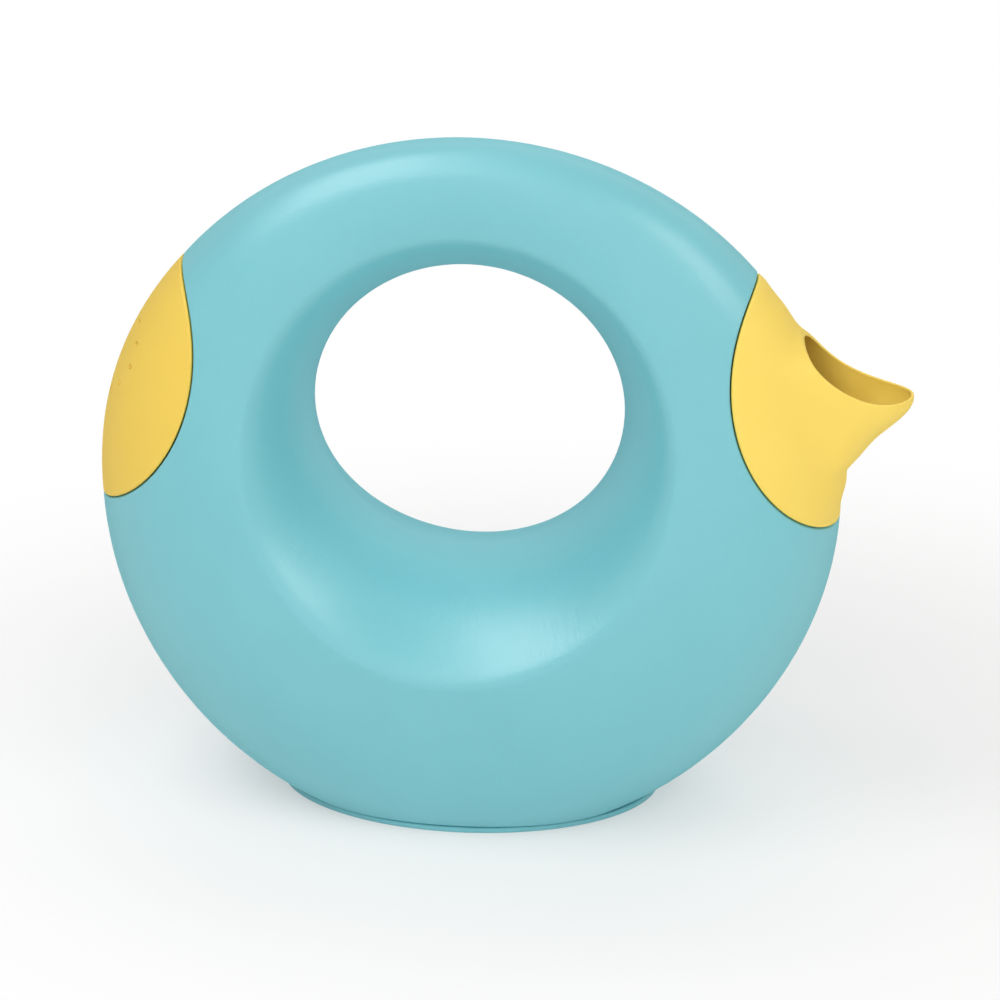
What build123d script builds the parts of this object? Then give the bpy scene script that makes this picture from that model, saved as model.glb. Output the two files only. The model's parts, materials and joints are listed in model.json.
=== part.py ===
from build123d import *
from math import atan2, cos, degrees, radians, sin, sqrt, tan
import os

os.makedirs("parts", exist_ok=True)

# A ring-shaped watering can, in millimetres. +X points along the spout, -X along the
# rose, +Z is up, and the origin is the middle of the underside of the foot.

# Ring body, as seen from the side: an oval that is cut flat at its foot, with an oval hole
# whose centre lies above the oval's own
BODY_HALF_LENGTH = 106.5
BODY_HALF_HEIGHT = 104.0
BODY_FLAT = 10.5
HOLE_HALF_LENGTH = 44.5
HOLE_HALF_HEIGHT = 42.5
HOLE_RISE = 25.2

# The crest is the widest line of the ring: a circle on each side, where the funnel that
# leads into the hole meets the rounded crown. The sides lean in towards the top.
CREST_RADIUS = 62.0
CREST_RISE = 18.5
CREST_HALF_DEPTH = 30.6
SIDE_LEAN = 14.6
FUNNEL_FULLNESS = 0.28
CROWN_FULLNESS_TOP = 0.66
CROWN_FULLNESS_SIDE = 0.58
CROWN_FULLNESS_BOTTOM = 0.78
WALL = 2.2

# Foot plate that closes the bottom of the ring, with a shadow groove under the body
FOOT_FLARE = 4.1
FOOT_HALF_DEPTH = 36.8
FOOT_THICKNESS = 1.8
FOOT_EDGE_RADIUS = 0.6
GROOVE_HEIGHT = 0.9
GROOVE_DEPTH = 1.2
SPIGOT_HEIGHT = 3.0
SPIGOT_WALL = 2.0
SPIGOT_CLEARANCE = 0.25

# Seat at each end of the ring, hollowed by a cylinder that lies across the ring
INSERT_ANGLE = 18.8
SEAT_RADIUS = 52.0
SEAT_DEPTH = 24.0
SEAM_GAP = 0.4
SEAM_EDGE_RADIUS = 0.6
INSERT_RISE = 1.0
INSERT_WALL = 2.0

# Round plug under each insert, in a collar behind its seat
BORE_RADIUS = 18.0
COLLAR_WALL = 2.2
COLLAR_LENGTH = 10.0
PLUG_CLEARANCE = 0.25
PLUG_WALL = 3.2
PLUG_LENGTH = 9.0

# Sealing ring in a groove round each plug
SEAL_RADIUS = 1.0
SEAL_CLEARANCE = 0.15
SEAL_GROOVE_CLEARANCE = 0.1
SEAL_SETBACK = 4.5

# Beak of the spout: the crown is drawn out to a thin lip, over a spread of angles about the
# hole. The draw falls off from the lip by the ease and the tapers.
LIP_OVERHANG = 19.7
LIP_RISE = 8.3
BEAK_HALF_WIDTH = 11.6
BEAK_NOSE = 17.3
BEAK_SPREAD_BELOW = 24.0
BEAK_SPREAD_ABOVE = 13.0
BEAK_EASE = 1.6
BEAK_TAPER_BELOW = 5.7
BEAK_TAPER_ABOVE = 2.3
LIP_WALL = 0.8

# Mouth of the beak, scooped out by a cylinder that lies across it
MOUTH_RADIUS = 31.5
MOUTH_SETBACK = 4.2
MOUTH_EDGE_RADIUS = 0.3

# Rose: a ring of drip holes in the upper part of the insert
DRIP_HOLE_COUNT = 12
DRIP_HOLE_RADIUS = 0.8
DRIP_RING_RADIUS = 13.0
DRIP_RING_LIFT = 5.0

# Angles of the ring's sections about the hole, in degrees from +X
RING_ANGLES = range(-105, 106, 15)
END_ANGLES = range(-45, 61, 15)
BEAK_ANGLES = range(-24, 43, 3)
ROUND_HANDLE = 0.55

# Places that follow from these sizes
body_floor = FOOT_THICKNESS + GROOVE_HEIGHT
body_centre = BODY_HALF_HEIGHT - BODY_FLAT
hole_centre = body_centre + HOLE_RISE
crest_centre = body_centre + CREST_RISE
foot_chord = sqrt(1 - ((body_centre - body_floor) / BODY_HALF_HEIGHT) ** 2)
foot_half_length = BODY_HALF_LENGTH * foot_chord + FOOT_FLARE
axis_along = cos(radians(INSERT_ANGLE))
axis_up = sin(radians(INSERT_ANGLE))
outline_reach = 1 / sqrt((axis_along / BODY_HALF_LENGTH) ** 2 + (axis_up / BODY_HALF_HEIGHT) ** 2)
seat_floor = outline_reach - SEAT_DEPTH
seat_centre = seat_floor + SEAT_RADIUS
seat_x = seat_centre * axis_along
seat_z = body_centre + seat_centre * axis_up
cut_reach = 2 * BODY_HALF_HEIGHT
plug_radius = BORE_RADIUS - PLUG_CLEARANCE
plug_end = seat_floor + SEAM_GAP - PLUG_LENGTH
seal_ring_radius = BORE_RADIUS - SEAL_CLEARANCE - SEAL_RADIUS
seal_place = plug_end + SEAL_SETBACK
lip_x = BODY_HALF_LENGTH + LIP_OVERHANG
lip_height = hole_centre + LIP_RISE
beak_reach = sqrt(lip_x**2 + LIP_RISE**2)
beak_angle = degrees(atan2(LIP_RISE, lip_x))
mouth_x = lip_x - MOUTH_SETBACK
mouth_z = lip_height + MOUTH_RADIUS
insert_plane = Plane(
    origin=(0, 0, body_centre), x_dir=(0, 1, 0), z_dir=(axis_along, 0, axis_up)
)


def ray_to_ellipse(angle, half_length, half_height, centre_height):
    """Distance from the hole's centre to an ellipse, along a ray at the given angle."""
    lift = (hole_centre - centre_height) / half_height
    along = cos(angle) / half_length
    up = sin(angle) / half_height
    a = along**2 + up**2
    b = up * lift
    c = lift**2 - 1
    return (sqrt(b * b - a * c) - b) / a


def insert_rise(x, z):
    """How far an insert stands proud of the ring's outline at a point of that outline."""
    to_seat = sqrt((x - seat_x) ** 2 + (z - seat_z) ** 2) / SEAT_RADIUS
    return INSERT_RISE * max(0, 1 - to_seat**2)


def section_plane(turn):
    """The plane of one section: through the hole's axis, with +Y of the can as its own y."""
    angle = radians(turn)
    return Plane(
        origin=(0, 0, hole_centre),
        x_dir=(cos(angle), 0, sin(angle)),
        z_dir=(-sin(angle), 0, cos(angle)),
    )


def section_curves(turn, inset, rise=None):
    """Handles of the funnel and crown curves of the ring's half section at one angle."""
    angle = radians(turn)
    hole = ray_to_ellipse(angle, HOLE_HALF_LENGTH, HOLE_HALF_HEIGHT, hole_centre)
    crest = ray_to_ellipse(angle, CREST_RADIUS, CREST_RADIUS, crest_centre)
    rim = ray_to_ellipse(angle, BODY_HALF_LENGTH, BODY_HALF_HEIGHT, body_centre)
    if rise:
        rim += rise(rim * cos(angle), hole_centre + rim * sin(angle))
    crest_height = hole_centre + crest * sin(angle)
    depth = CREST_HALF_DEPTH + (crest_centre - crest_height) * tan(radians(SIDE_LEAN))
    slope = atan2(depth, crest - hole)
    hole += inset / sin(slope)
    crest += inset * tan(slope / 2)
    rim -= inset
    depth -= inset
    tilt = (CROWN_FULLNESS_TOP - CROWN_FULLNESS_BOTTOM) / 2
    bow = (CROWN_FULLNESS_TOP + CROWN_FULLNESS_BOTTOM) / 2 - CROWN_FULLNESS_SIDE
    fullness = CROWN_FULLNESS_SIDE + tilt * sin(angle) + bow * sin(angle) ** 2
    funnel = (
        Vector(hole, 0),
        Vector(hole, FUNNEL_FULLNESS * depth),
        Vector(crest - FUNNEL_FULLNESS * (crest - hole), depth),
        Vector(crest, depth),
    )
    crown = (
        Vector(crest, depth),
        Vector(crest + fullness * (rim - crest), depth),
        Vector(rim, fullness * depth),
        Vector(rim, 0),
    )
    return funnel, crown


def halves(a, b, c, d):
    """The handles of both halves of a curve that is split at its middle."""
    ab, bc, cd = (a + b) * 0.5, (b + c) * 0.5, (c + d) * 0.5
    abc, bcd = (ab + bc) * 0.5, (bc + cd) * 0.5
    middle = (abc + bcd) * 0.5
    return (a, ab, abc, middle), (middle, bcd, cd, d)


def mixed(plain, drawn, pull):
    """Handles part of the way from one curve to another."""
    return [p * (1 - pull) + q * pull for p, q in zip(plain, drawn)]


def beak_pull(turn):
    """How far the crown is drawn out at an angle: 1 at the lip, 0 where the beak ends."""
    away = turn - beak_angle
    spread = BEAK_SPREAD_ABOVE if away > 0 else BEAK_SPREAD_BELOW
    taper = BEAK_TAPER_ABOVE if away > 0 else BEAK_TAPER_BELOW
    return (1 - min(1, abs(away) / spread) ** BEAK_EASE) ** taper


def loft_sections(sections):
    """Solid through half sections, each a plane and the curves from the hole to the rim."""
    with BuildPart() as form:
        for plane, curves in sections:
            with BuildSketch(plane):
                with BuildLine():
                    for curve in curves:
                        Bezier(*curve)
                    Line(curves[-1][-1], curves[0][0])
                make_face()
        loft()
    return form.part


def end_form(inset):
    """The ring's end under the rose, both halves, slightly proud of the body."""
    half = loft_sections(
        [(section_plane(turn), section_curves(turn, inset, insert_rise)) for turn in END_ANGLES]
    )
    with BuildPart() as form:
        add(half)
        mirror(about=Plane.XZ)
    return form.part


def beaked_form(inset, lip_inset):
    """The ring's end under the spout: the same form, with its crown drawn out to the lip."""
    sections = []
    joint = Vector(beak_reach - BEAK_NOSE, BEAK_HALF_WIDTH - lip_inset)
    handle = Vector(ROUND_HANDLE * (BEAK_NOSE - lip_inset), 0)
    tip = Vector(beak_reach - lip_inset, 0)
    for turn in BEAK_ANGLES:
        funnel, crown = section_curves(turn, inset, insert_rise)
        shoulder, rest = halves(*crown)
        flank, nose = halves(*rest)
        beak_flank = (flank[0], flank[1], joint - handle, joint)
        beak_nose = (joint, joint + handle, tip + Vector(0, ROUND_HANDLE * joint.Y), tip)
        pull = beak_pull(turn)
        curves = (funnel, shoulder, mixed(flank, beak_flank, pull), mixed(nose, beak_nose, pull))
        sections.append((section_plane(turn), curves))
    half = loft_sections(sections)
    with BuildPart() as form:
        add(half)
        mirror(about=Plane.XZ)
    return form.part


def half_ring(inset):
    """The +Y half of the whole ring: one end and its mirror image."""
    quarter = loft_sections(
        [(section_plane(turn), section_curves(turn, inset)) for turn in RING_ANGLES]
    )
    with BuildPart() as half:
        add(quarter)
        split(bisect_by=Plane.YZ)
        mirror(about=Plane.YZ)
    return half.part


def ring_slice(inset, low, high):
    """A level slice of the whole ring between two heights."""
    with BuildPart() as level:
        add(half_ring(inset))
        split(bisect_by=Plane.XY.offset(low))
        split(bisect_by=Plane.XY.offset(high), keep=Keep.BOTTOM)
        mirror(about=Plane.XZ)
    return level.part


def seat_roller(shrink):
    """The cylinder across the ring that hollows the seat, made smaller by shrink."""
    with BuildPart() as roller:
        with BuildSketch(Plane.XZ):
            with Locations((seat_x, seat_z)):
                Circle(SEAT_RADIUS - shrink)
        extrude(amount=cut_reach, both=True)
    return roller.part


def on_cylinder(edge, x, z, radius):
    """Whether an edge lies on a cylinder across the ring, at either end of the can."""
    points = [edge.position_at(share) for share in (0.1, 0.5, 0.9)]
    away = [abs(sqrt((abs(p.X) - x) ** 2 + (p.Z - z) ** 2) - radius) for p in points]
    return max(away) < SEAM_GAP / 4


def seam_rims(piece, shrink):
    """The long edges where a piece's skin meets the cylinder of its seat."""
    rims = [
        edge for edge in piece.edges() if on_cylinder(edge, seat_x, seat_z, SEAT_RADIUS - shrink)
    ]
    return [edge for edge in rims if abs(edge.position_at(0.5).Y) > BORE_RADIUS + COLLAR_WALL]


def round_plug():
    """The plug under an insert, with the groove for its sealing ring, still solid inside."""
    groove_floor = seal_ring_radius - SEAL_RADIUS - SEAL_GROOVE_CLEARANCE
    groove_half_width = SEAL_RADIUS + SEAL_GROOVE_CLEARANCE
    with BuildPart() as plug:
        with BuildSketch(insert_plane.offset(plug_end)):
            Circle(plug_radius)
        extrude(amount=PLUG_LENGTH + SEAT_DEPTH / 2)
        with BuildSketch(insert_plane.offset(seal_place - groove_half_width)):
            Circle(plug_radius)
            Circle(groove_floor, mode=Mode.SUBTRACT)
        extrude(amount=2 * groove_half_width, mode=Mode.SUBTRACT)
    return plug.part


def insert(outer, inner, plug):
    """A hollow insert in its seat: skin, floor and plug."""
    with BuildPart() as hollow:
        add(inner)
        add(seat_roller(SEAM_GAP + INSERT_WALL), mode=Mode.INTERSECT)
        with BuildSketch(insert_plane.offset(plug_end)):
            Circle(plug_radius - PLUG_WALL)
        extrude(amount=PLUG_LENGTH + SEAT_DEPTH / 2)
    with BuildPart() as piece:
        add(outer)
        add(seat_roller(SEAM_GAP), mode=Mode.INTERSECT)
        add(plug)
        add(hollow.part, mode=Mode.SUBTRACT)
    return piece.part


def sealing_ring():
    """The rubber ring in the groove of a plug."""
    with BuildPart() as ring:
        with Locations(insert_plane.offset(seal_place)):
            Torus(seal_ring_radius, SEAL_RADIUS)
    return ring.part


# Body: two moulded half shells that meet on the middle plane
with BuildPart() as tank_space:
    add(half_ring(WALL))
    add(seat_roller(-WALL), mode=Mode.SUBTRACT)
    with BuildSketch(insert_plane.offset(seat_floor - COLLAR_LENGTH)):
        Circle(BORE_RADIUS + COLLAR_WALL)
    extrude(amount=COLLAR_LENGTH + SEAT_DEPTH, mode=Mode.SUBTRACT)
    split(bisect_by=Plane.YZ)
    mirror(about=Plane.YZ)

with BuildPart() as body_right_half:
    add(half_ring(0))
    split(bisect_by=Plane.XY.offset(body_floor))
    add(seat_roller(0), mode=Mode.SUBTRACT)
    with BuildSketch(insert_plane.offset(seat_floor - 2 * COLLAR_LENGTH)):
        Circle(BORE_RADIUS)
    extrude(amount=2 * COLLAR_LENGTH + SEAT_DEPTH, mode=Mode.SUBTRACT)
    split(bisect_by=Plane.YZ)
    mirror(about=Plane.YZ)
    add(tank_space.part, mode=Mode.SUBTRACT)
    fillet(seam_rims(body_right_half, 0), SEAM_EDGE_RADIUS)
body_right_half.part.label = "body_right_half"
export_step(body_right_half.part, "parts/body_right_half.step")

with BuildPart() as body_left_half:
    add(mirror(body_right_half.part, about=Plane.XZ, mode=Mode.PRIVATE))
body_left_half.part.label = "body_left_half"
export_step(body_left_half.part, "parts/body_left_half.step")

# Foot plate: oval plinth, neck under the body, and a rim that stands inside the body
spigot_inset = WALL + SPIGOT_CLEARANCE
spigot_top = body_floor + SPIGOT_HEIGHT
neck = ring_slice(GROOVE_DEPTH, FOOT_THICKNESS, body_floor)
spigot = ring_slice(spigot_inset, body_floor, spigot_top)
spigot_space = ring_slice(spigot_inset + SPIGOT_WALL, body_floor, spigot_top)
with BuildPart() as base_plate:
    with BuildSketch():
        Ellipse(foot_half_length, FOOT_HALF_DEPTH)
    extrude(amount=FOOT_THICKNESS)
    fillet(base_plate.edges(), FOOT_EDGE_RADIUS)
    add(spigot)
    add(spigot_space, mode=Mode.SUBTRACT)
    add(neck)
base_plate.part.label = "base_plate"
export_step(base_plate.part, "parts/base_plate.step")

# Spout: insert whose crown is drawn out into a beak
plug = round_plug()
spout_blank = insert(beaked_form(0, 0), beaked_form(INSERT_WALL, LIP_WALL), plug)
with BuildPart() as spout:
    add(spout_blank)
    with BuildSketch(Plane.XZ):
        with Locations((mouth_x, mouth_z)):
            Circle(MOUTH_RADIUS)
    extrude(amount=cut_reach, both=True, mode=Mode.SUBTRACT)
    mouth_rims = [edge for edge in spout.edges() if on_cylinder(edge, mouth_x, mouth_z, MOUTH_RADIUS)]
    fillet(mouth_rims, MOUTH_EDGE_RADIUS)
    fillet(seam_rims(spout, SEAM_GAP), SEAM_EDGE_RADIUS)
spout.part.label = "spout"
export_step(spout.part, "parts/spout.step")

# Rose: insert on the other end, pierced by a ring of drip holes
rose_blank = insert(end_form(0), end_form(INSERT_WALL), plug)
with BuildPart() as pierced_blank:
    add(rose_blank)
    with BuildSketch(insert_plane.offset(outline_reach - SEAT_DEPTH / 2)):
        with Locations((0, DRIP_RING_LIFT)):
            with PolarLocations(DRIP_RING_RADIUS, DRIP_HOLE_COUNT):
                Circle(DRIP_HOLE_RADIUS)
    extrude(amount=SEAT_DEPTH, mode=Mode.SUBTRACT)

with BuildPart() as rose:
    add(mirror(pierced_blank.part, about=Plane.YZ, mode=Mode.PRIVATE))
    fillet(seam_rims(rose, SEAM_GAP), SEAM_EDGE_RADIUS)
rose.part.label = "rose"
export_step(rose.part, "parts/rose.step")

# Sealing rings on the two plugs
with BuildPart() as spout_seal:
    add(sealing_ring())
spout_seal.part.label = "spout_seal"
export_step(spout_seal.part, "parts/spout_seal.step")

with BuildPart() as rose_seal:
    add(mirror(sealing_ring(), about=Plane.YZ, mode=Mode.PRIVATE))
rose_seal.part.label = "rose_seal"
export_step(rose_seal.part, "parts/rose_seal.step")
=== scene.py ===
"""Dresses the ring-shaped watering can and sets it on a pale studio floor.

All lengths are in metres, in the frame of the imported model: +X along the spout, +Z up,
origin in the middle of the underside of the foot.
"""

import json
import logging
import math
from dataclasses import dataclass, replace
from enum import Enum
from functools import cache
from typing import Any

import bpy
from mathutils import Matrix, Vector

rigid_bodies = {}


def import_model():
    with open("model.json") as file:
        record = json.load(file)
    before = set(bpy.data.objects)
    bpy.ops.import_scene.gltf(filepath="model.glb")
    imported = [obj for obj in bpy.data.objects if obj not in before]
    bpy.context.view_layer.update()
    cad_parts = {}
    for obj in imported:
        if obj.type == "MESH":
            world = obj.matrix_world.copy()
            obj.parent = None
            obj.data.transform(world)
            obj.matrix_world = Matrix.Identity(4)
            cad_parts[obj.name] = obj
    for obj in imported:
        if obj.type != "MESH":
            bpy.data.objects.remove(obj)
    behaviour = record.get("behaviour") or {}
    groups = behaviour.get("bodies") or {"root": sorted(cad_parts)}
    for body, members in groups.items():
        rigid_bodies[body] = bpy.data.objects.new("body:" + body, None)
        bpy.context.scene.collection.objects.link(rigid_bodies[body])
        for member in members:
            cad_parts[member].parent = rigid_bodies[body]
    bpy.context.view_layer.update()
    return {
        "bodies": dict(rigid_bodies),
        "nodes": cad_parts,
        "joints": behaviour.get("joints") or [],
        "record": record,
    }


LOG = logging.getLogger("watering_can")

Colour = tuple[float, float, float]
Point = tuple[float, float, float]
Frame = dict[str, Any]
Socket = bpy.types.NodeSocket

WHITE: Colour = (1.0, 1.0, 1.0)

# Range that most values of a noise lie in.
NOISE_LOW = 0.3
NOISE_HIGH = 0.7

# Colour sockets of the Mix node, which shares their names among its modes.
MIX_FIRST = 6
MIX_SECOND = 7
MIX_RESULT = 2


class Body(Enum):
    """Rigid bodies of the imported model."""

    CAN = "can"
    SPOUT = "pull_off_spout"
    ROSE = "pull_off_rose"


class Reach(Enum):
    """What a studio light shows on."""

    ALL = "all"
    MATTE = "matte"
    GLOSS = "gloss"


def linear(red: int, green: int, blue: int) -> Colour:
    """Turns an 8-bit display colour into linear light.

    Args:
        red: Red, 0 to 255.
        green: Green, 0 to 255.
        blue: Blue, 0 to 255.

    Returns:
        The same colour in linear light.
    """

    def channel(value: int) -> float:
        """One channel in linear light, by the standard curve of displays."""
        v = value / 255
        return v / 12.92 if v <= 0.04045 else ((v + 0.055) / 1.055) ** 2.4

    return channel(red), channel(green), channel(blue)


def add_to_scene(thing: bpy.types.Object) -> None:
    """Links an object to the scene."""
    bpy.context.scene.collection.objects.link(thing)


class NodeTree:
    """Small helper that adds and links the nodes of one material."""

    def __init__(self, name: str) -> None:
        """Starts a material with an output and a Principled shader.

        Args:
            name: Name of the material.
        """
        self.material = bpy.data.materials.new(name)
        self.material.use_nodes = True
        self.tree = self.material.node_tree
        self.tree.nodes.clear()
        self.output = self.add("ShaderNodeOutputMaterial")
        self.shader = self.add("ShaderNodeBsdfPrincipled")
        self.link(self.shader.outputs["BSDF"], self.output.inputs["Surface"])

    def add(self, kind: str, **settings: object) -> bpy.types.Node:
        """Adds a node and sets its properties.

        Args:
            kind: Type name of the node.
            **settings: Properties of the node by name.

        Returns:
            The new node.
        """
        node = self.tree.nodes.new(kind)
        for key, value in settings.items():
            setattr(node, key, value)
        return node

    def link(self, source: Socket, target: Socket) -> None:
        """Links an output to an input."""
        self.tree.links.new(source, target)

    def feed(self, name: str, source: Socket) -> None:
        """Links an output to an input of the Principled shader."""
        self.link(source, self.shader.inputs[name])

    def noise(self, scale: float, detail: float) -> Socket:
        """Adds noise in the object's own coordinates.

        Args:
            scale: Cycles per metre.
            detail: Number of finer layers.

        Returns:
            The socket with the noise value, 0 to 1.
        """
        place = self.add("ShaderNodeTexCoord")
        noise = self.add("ShaderNodeTexNoise")
        noise.inputs["Scale"].default_value = scale
        noise.inputs["Detail"].default_value = detail
        self.link(place.outputs["Object"], noise.inputs["Vector"])
        return noise.outputs["Fac"]

    def spread(self, value: Socket, low: float = 0.0, high: float = 1.0) -> Socket:
        """Maps the usual range of a noise onto another range.

        Args:
            value: Socket with the noise value.
            low: Result at the low end of the usual range, and below it.
            high: Result at the high end of the usual range, and above it.

        Returns:
            The socket with the mapped value.
        """
        ramp = self.add("ShaderNodeMapRange")
        ramp.inputs["From Min"].default_value = NOISE_LOW
        ramp.inputs["From Max"].default_value = NOISE_HIGH
        ramp.inputs["To Min"].default_value = low
        ramp.inputs["To Max"].default_value = high
        self.link(value, ramp.inputs["Value"])
        return ramp.outputs["Result"]

    def tint(self, value: Socket, first: Colour, second: Colour) -> Socket:
        """Mixes two colours by a value.

        Args:
            value: Socket with the share of the second colour.
            first: Colour at 0.
            second: Colour at 1.

        Returns:
            The socket with the mixed colour.
        """
        mix = self.add("ShaderNodeMix", data_type="RGBA")
        mix.inputs[MIX_FIRST].default_value = (*first, 1)
        mix.inputs[MIX_SECOND].default_value = (*second, 1)
        self.link(value, mix.inputs[0])
        return mix.outputs[MIX_RESULT]

    def bump(
        self,
        height: Socket,
        depth: float,
        strength: float = 1.0,
        under: Socket | None = None,
    ) -> Socket:
        """Turns a height into a normal.

        Args:
            height: Socket with a height from 0 to 1.
            depth: Depth of the relief, in metres.
            strength: Share of the effect.
            under: Normal of a coarser relief below this one.

        Returns:
            The socket with the normal.
        """
        bump = self.add("ShaderNodeBump")
        bump.inputs["Distance"].default_value = depth
        bump.inputs["Strength"].default_value = strength
        self.link(height, bump.inputs["Height"])
        if under:
            self.link(under, bump.inputs["Normal"])
        return bump.outputs["Normal"]


@dataclass(frozen=True)
class MouldedPlastic:
    """Moulded plastic with a fine grain, which is dull where it is seen edge on.

    The roughness less its spread stays above 0.275. With a glossier grain the denoiser
    leaves specks in a ring where the dull edge starts.
    """

    name: str
    colour: Colour
    shade: Colour
    mottle_per_metre: float = 28.0
    mottle_detail: float = 3.0
    roughness: float = 0.29
    roughness_spread: float = 0.014
    edge_roughness: float = 0.75
    edge_start: float = 0.35
    edge_end: float = 0.85
    shine: float = 0.74
    ior: float = 1.49
    grain_per_metre: float = 1600.0
    grain_detail: float = 1.5
    grain_depth: float = 0.00004
    grain_strength: float = 1.0
    weld_half_width: float = 0.0
    weld_depth: float = 0.00012

    def material(self) -> bpy.types.Material:
        """Builds the material.

        Returns:
            A node material in the plastic's colour.
        """
        nodes = NodeTree(self.name)
        mottle = nodes.spread(nodes.noise(self.mottle_per_metre, self.mottle_detail))
        nodes.feed("Base Color", nodes.tint(mottle, self.colour, self.shade))
        grain = nodes.noise(self.grain_per_metre, self.grain_detail)
        smooth = self.roughness - self.roughness_spread
        rough = self.roughness + self.roughness_spread
        facing = nodes.spread(grain, smooth, rough)
        nodes.feed("Roughness", self.dull_edge(nodes, facing))
        under = self.weld_line(nodes) if self.weld_half_width else None
        nodes.feed("Normal", nodes.bump(grain, self.grain_depth, self.grain_strength, under))
        nodes.shader.inputs["IOR"].default_value = self.ior
        nodes.shader.inputs["Specular IOR Level"].default_value = self.shine
        return nodes.material

    def dull_edge(self, nodes: NodeTree, facing: Socket) -> Socket:
        """Takes the gloss down where the grain is seen edge on.

        Args:
            nodes: Nodes of the material.
            facing: Roughness where the surface is seen face on.

        Returns:
            The socket with the roughness.
        """
        slant = nodes.add("ShaderNodeLayerWeight")
        dull = nodes.add("ShaderNodeMapRange")
        dull.inputs["From Min"].default_value = self.edge_start
        dull.inputs["From Max"].default_value = self.edge_end
        nodes.link(slant.outputs["Facing"], dull.inputs["Value"])
        nodes.link(facing, dull.inputs["To Min"])
        dull.inputs["To Max"].default_value = self.edge_roughness
        return dull.outputs["Result"]

    def weld_line(self, nodes: NodeTree) -> Socket:
        """Sinks a hairline where the two half shells meet on the middle plane.

        Args:
            nodes: Nodes of the material.

        Returns:
            The socket with the normal of the hairline.
        """
        place = nodes.add("ShaderNodeTexCoord")
        split = nodes.add("ShaderNodeSeparateXYZ")
        nodes.link(place.outputs["Object"], split.inputs["Vector"])
        away = nodes.add("ShaderNodeMath", operation="ABSOLUTE")
        nodes.link(split.outputs["Y"], away.inputs[0])
        ramp = nodes.add("ShaderNodeMapRange", interpolation_type="SMOOTHSTEP")
        ramp.inputs["From Max"].default_value = self.weld_half_width
        nodes.link(away.outputs[0], ramp.inputs["Value"])
        return nodes.bump(ramp.outputs["Result"], self.weld_depth)


@dataclass(frozen=True)
class Rubber:
    """Soft moulded rubber with a dusty bloom."""

    name: str
    colour: Colour
    bloom: Colour
    bloom_per_metre: float = 240.0
    bloom_detail: float = 4.0
    bloom_depth: float = 0.00004
    bloom_strength: float = 0.4
    clean_roughness: float = 0.55
    dusty_roughness: float = 0.75

    def material(self) -> bpy.types.Material:
        """Builds the material.

        Returns:
            A node material for the sealing rings.
        """
        nodes = NodeTree(self.name)
        bloom = nodes.noise(self.bloom_per_metre, self.bloom_detail)
        nodes.feed("Base Color", nodes.tint(nodes.spread(bloom), self.colour, self.bloom))
        dust = nodes.spread(bloom, self.clean_roughness, self.dusty_roughness)
        nodes.feed("Roughness", dust)
        nodes.feed("Normal", nodes.bump(bloom, self.bloom_depth, self.bloom_strength))
        return nodes.material


TURQUOISE = MouldedPlastic(
    name="turquoise_plastic",
    colour=linear(120, 196, 205),
    shade=linear(117, 193, 202),
)
WELDED_TURQUOISE = replace(
    TURQUOISE,
    name="welded_turquoise_plastic",
    weld_half_width=0.00025,
)
YELLOW = MouldedPlastic(
    name="yellow_plastic",
    colour=linear(250, 219, 103),
    shade=linear(248, 216, 99),
    roughness=0.5,
    shine=0.4,
    grain_strength=0.25,
)
# The spout's yellow darkened for the rose: painted shade, because the rose faces away from
# the lights.
SHADED_YELLOW = replace(
    YELLOW,
    name="shaded_yellow_plastic",
    colour=linear(241, 206, 89),
    shade=linear(239, 203, 85),
)
GREY_RUBBER = Rubber(
    name="grey_rubber",
    colour=linear(150, 151, 149),
    bloom=linear(168, 168, 165),
)


@cache
def made(finish: MouldedPlastic | Rubber) -> bpy.types.Material:
    """Makes the material of a finish the first time that a piece wears it.

    Args:
        finish: The finish.

    Returns:
        The one material that all pieces in this finish share.
    """
    return finish.material()


def wear(frame: Frame, body: Body, name: str, finish: MouldedPlastic | Rubber) -> None:
    """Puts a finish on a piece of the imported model.

    Args:
        frame: The loaded frame.
        body: Body that carries the piece.
        name: Name of the piece.
        finish: Finish that it gets.
    """
    piece = frame["nodes"][name]
    piece.data.materials.clear()
    piece.data.materials.append(made(finish))
    LOG.info("%s on %s wears %s", name, body.value, finish.name)


@dataclass
class RingBody:
    """The hollow ring: two welded half shells on a foot plate."""

    body: Body = Body.CAN
    halves: tuple[str, ...] = ("body_right_half", "body_left_half")
    foot: str = "base_plate"
    shell_finish: MouldedPlastic = WELDED_TURQUOISE
    foot_finish: MouldedPlastic = TURQUOISE

    def dress(self, frame: Frame) -> None:
        """Gives the shells and the foot plate their plastic.

        Args:
            frame: The loaded frame.
        """
        for half in self.halves:
            wear(frame, self.body, half, self.shell_finish)
        wear(frame, self.body, self.foot, self.foot_finish)


@dataclass
class PullOffInsert:
    """A yellow insert that plugs into an end of the ring, with a sealing ring on its plug."""

    body: Body
    shell: str
    seal: str
    shell_finish: MouldedPlastic = YELLOW
    seal_finish: Rubber = GREY_RUBBER

    def dress(self, frame: Frame) -> None:
        """Gives the shell its plastic and the sealing ring its rubber.

        Args:
            frame: The loaded frame.
        """
        wear(frame, self.body, self.shell, self.shell_finish)
        wear(frame, self.body, self.seal, self.seal_finish)


def seen_directly(tree: bpy.types.NodeTree) -> Socket:
    """Tells rays of the eye, of reflections and of glass from rays that carry light.

    Args:
        tree: Node tree to add to.

    Returns:
        The socket that is 1 for rays of the eye, of reflections and of glass.
    """
    path = tree.nodes.new("ShaderNodeLightPath")
    total = path.outputs["Is Camera Ray"]
    for kind in ("Is Glossy Ray", "Is Transmission Ray"):
        either = tree.nodes.new("ShaderNodeMath")
        either.operation = "MAXIMUM"
        tree.links.new(total, either.inputs[0])
        tree.links.new(path.outputs[kind], either.inputs[1])
        total = either.outputs[0]
    return total


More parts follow.
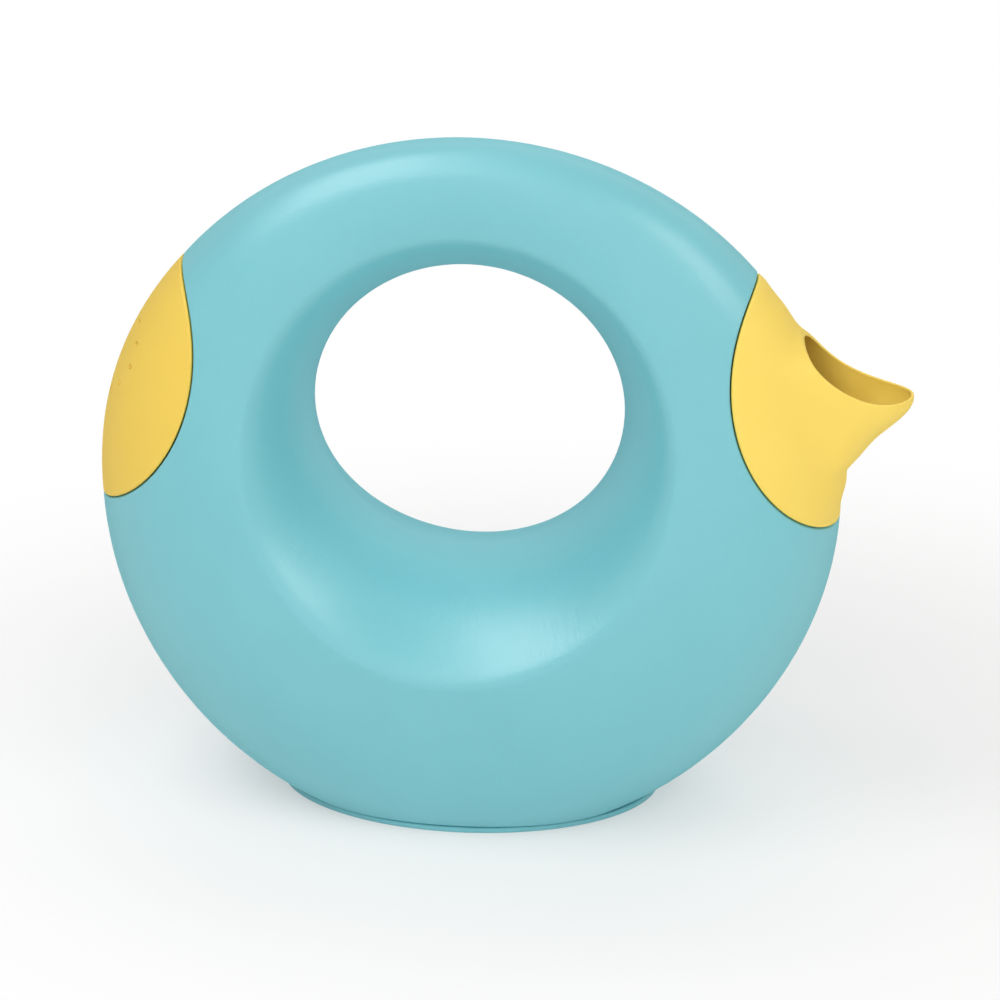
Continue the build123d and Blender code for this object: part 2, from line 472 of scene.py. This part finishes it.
@dataclass
class Floor:
    """Pale studio floor that brightens to the white surround away from the can."""

    half_size: float = 3.0
    colour: Colour = linear(248, 247, 246)
    roughness: float = 0.9
    mottle_per_metre: float = 9.0
    mottle_detail: float = 2.0
    mottle_shade: float = 0.99
    near_white: float = 0.4
    fade_centre: Point = (0.05, 0.04, 0.0)
    fade_stretch: Point = (1.0, 1.4, 1.0)
    fade_start: float = 0.1
    fade_end: float = 0.34

    def build(self) -> None:
        """Makes the floor."""
        s = self.half_size
        mesh = bpy.data.meshes.new("floor")
        mesh.from_pydata([(-s, -s, 0), (s, -s, 0), (s, s, 0), (-s, s, 0)], [], [(0, 1, 2, 3)])
        mesh.materials.append(self.material())
        floor = bpy.data.objects.new("floor", mesh)
        add_to_scene(floor)
        LOG.info("floor fades to white from %s m to %s m", self.fade_start, self.fade_end)

    def material(self) -> bpy.types.Material:
        """Builds the matt paint, which fades to white for the eye and for reflections.

        Returns:
            A node material for the floor.
        """
        nodes = NodeTree("floor_paint")
        mottle = nodes.spread(nodes.noise(self.mottle_per_metre, self.mottle_detail))
        shade = tuple(self.mottle_shade * c for c in self.colour)
        nodes.feed("Base Color", nodes.tint(mottle, self.colour, shade))
        nodes.shader.inputs["Roughness"].default_value = self.roughness
        nodes.shader.inputs["Specular IOR Level"].default_value = 0.0
        white = nodes.add("ShaderNodeEmission")
        white.inputs["Color"].default_value = (*WHITE, 1)
        mix = nodes.add("ShaderNodeMixShader")
        nodes.link(self.whiteness(nodes), mix.inputs[0])
        nodes.link(nodes.shader.outputs["BSDF"], mix.inputs[1])
        nodes.link(white.outputs["Emission"], mix.inputs[2])
        nodes.link(mix.outputs[0], nodes.output.inputs["Surface"])
        return nodes.material

    def whiteness(self, nodes: NodeTree) -> Socket:
        """Share of white by distance from the can, for the eye and reflections only.

        Args:
            nodes: Nodes of the material.

        Returns:
            The socket with the share.
        """
        place = nodes.add("ShaderNodeTexCoord")
        offset = nodes.add("ShaderNodeVectorMath", operation="SUBTRACT")
        offset.inputs[1].default_value = self.fade_centre
        nodes.link(place.outputs["Object"], offset.inputs[0])
        stretch = nodes.add("ShaderNodeVectorMath", operation="MULTIPLY")
        stretch.inputs[1].default_value = self.fade_stretch
        nodes.link(offset.outputs["Vector"], stretch.inputs[0])
        away = nodes.add("ShaderNodeVectorMath", operation="LENGTH")
        nodes.link(stretch.outputs["Vector"], away.inputs[0])
        ramp = nodes.add("ShaderNodeMapRange", interpolation_type="SMOOTHSTEP")
        ramp.inputs["From Min"].default_value = self.fade_start
        ramp.inputs["From Max"].default_value = self.fade_end
        ramp.inputs["To Min"].default_value = self.near_white
        nodes.link(away.outputs["Value"], ramp.inputs["Value"])
        share = nodes.add("ShaderNodeMath", operation="MULTIPLY")
        nodes.link(ramp.outputs["Result"], share.inputs[0])
        nodes.link(seen_directly(nodes.tree), share.inputs[1])
        return share.outputs[0]


@dataclass(frozen=True)
class SoftBox:
    """A rectangular studio light."""

    name: str
    place: Point
    aim: Point
    width: float
    height: float
    power: float
    colour: Colour = WHITE
    reach: Reach = Reach.ALL

    def build(self) -> None:
        """Makes the light."""
        lamp = bpy.data.lights.new(self.name, "AREA")
        lamp.shape = "RECTANGLE"
        lamp.size = self.width
        lamp.size_y = self.height
        lamp.energy = self.power
        lamp.color = self.colour
        light = bpy.data.objects.new(self.name, lamp)
        light.location = self.place
        light.visible_diffuse = self.reach is not Reach.GLOSS
        light.visible_glossy = self.reach is not Reach.MATTE
        to_aim = Vector(self.aim) - Vector(self.place)
        light.rotation_euler = to_aim.to_track_quat("-Z", "Y").to_euler()
        add_to_scene(light)


KEY = SoftBox(
    name="key",
    place=(-0.5, -0.33, 1.0),
    aim=(-0.5, 0.0, 0.0),
    width=0.62,
    height=0.85,
    power=3.9,
)
SHEEN = SoftBox(
    name="sheen",
    place=(-0.5, -0.28, 1.02),
    aim=(-0.5, 0.0, 0.0),
    width=1.1,
    height=1.25,
    power=3.8,
    reach=Reach.GLOSS,
)
SIDE = SoftBox(
    name="side",
    place=(0.81, -0.45, 0.85),
    aim=(0.1, 0.0, 0.1),
    width=0.56,
    height=0.56,
    power=2.2,
    colour=(1.0, 0.97, 0.92),
)
FRONT = SoftBox(
    name="front",
    place=(0.3, -1.75, 1.1),
    aim=(0.0, 0.0, 0.1),
    width=2.4,
    height=2.0,
    power=19.0,
    reach=Reach.MATTE,
)
BACK = SoftBox(
    name="back",
    place=(0.1, 1.8, 1.3),
    aim=(0.0, 0.0, 0.1),
    width=2.4,
    height=2.0,
    power=17.0,
    reach=Reach.MATTE,
)


@dataclass
class Studio:
    """White surround, soft boxes and camera."""

    surround_left: float = 0.28
    surround_right: float = 0.37
    boxes: tuple[SoftBox, ...] = (KEY, SHEEN, SIDE, FRONT, BACK)
    target: Point = (0.008855, 0.0, 0.08926)
    azimuth: float = 6.29
    elevation: float = 23.5
    distance: float = 1.10846
    lens: float = 138.65
    sensor_width: float = 36.0

    def light(self) -> None:
        """Makes the surround and the soft boxes."""
        self.surround()
        for box in self.boxes:
            box.build()
        LOG.info("%d soft boxes light the can", len(self.boxes))

    def surround(self) -> None:
        """Makes the surround, white to the eye and dimmer as a light, most on the left."""
        world = bpy.data.worlds.new("surround")
        world.use_nodes = True
        tree = world.node_tree
        tree.nodes.clear()
        output = tree.nodes.new("ShaderNodeOutputWorld")
        seen = tree.nodes.new("ShaderNodeBackground")
        lit = tree.nodes.new("ShaderNodeBackground")
        place = tree.nodes.new("ShaderNodeTexCoord")
        split = tree.nodes.new("ShaderNodeSeparateXYZ")
        tree.links.new(place.outputs["Generated"], split.inputs["Vector"])
        ramp = tree.nodes.new("ShaderNodeMapRange")
        ramp.inputs["From Min"].default_value = -1.0
        ramp.inputs["To Min"].default_value = self.surround_left
        ramp.inputs["To Max"].default_value = self.surround_right
        tree.links.new(split.outputs["X"], ramp.inputs["Value"])
        tree.links.new(ramp.outputs["Result"], lit.inputs["Strength"])
        for shade in (seen, lit):
            shade.inputs["Color"].default_value = (*WHITE, 1)
        mix = tree.nodes.new("ShaderNodeMixShader")
        tree.links.new(seen_directly(tree), mix.inputs[0])
        tree.links.new(lit.outputs[0], mix.inputs[1])
        tree.links.new(seen.outputs[0], mix.inputs[2])
        tree.links.new(mix.outputs[0], output.inputs["Surface"])
        bpy.context.scene.world = world

    def camera(self) -> None:
        """Makes the camera at the photograph's place and aim."""
        a, e = math.radians(self.azimuth), math.radians(self.elevation)
        back = Vector((math.sin(a) * math.cos(e), -math.cos(a) * math.cos(e), math.sin(e)))
        data = bpy.data.cameras.new("camera")
        data.sensor_width = self.sensor_width
        data.lens = self.lens
        camera = bpy.data.objects.new("camera", data)
        camera.location = Vector(self.target) + back * self.distance
        camera.rotation_euler = (-back).to_track_quat("-Z", "Y").to_euler()
        add_to_scene(camera)
        bpy.context.scene.camera = camera


def main() -> None:
    """Loads the frame, dresses its pieces and sets the stage."""
    logging.basicConfig(level=logging.INFO, format="%(name)s: %(message)s")
    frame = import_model()
    bpy.context.scene.view_settings.view_transform = "Standard"
    RingBody().dress(frame)
    PullOffInsert(Body.SPOUT, "spout", "spout_seal").dress(frame)
    # The rose wears the yellow with painted shade.
    PullOffInsert(Body.ROSE, "rose", "rose_seal", SHADED_YELLOW).dress(frame)
    Floor().build()
    studio = Studio()
    studio.light()
    studio.camera()


if __name__ == "__main__":
    main()
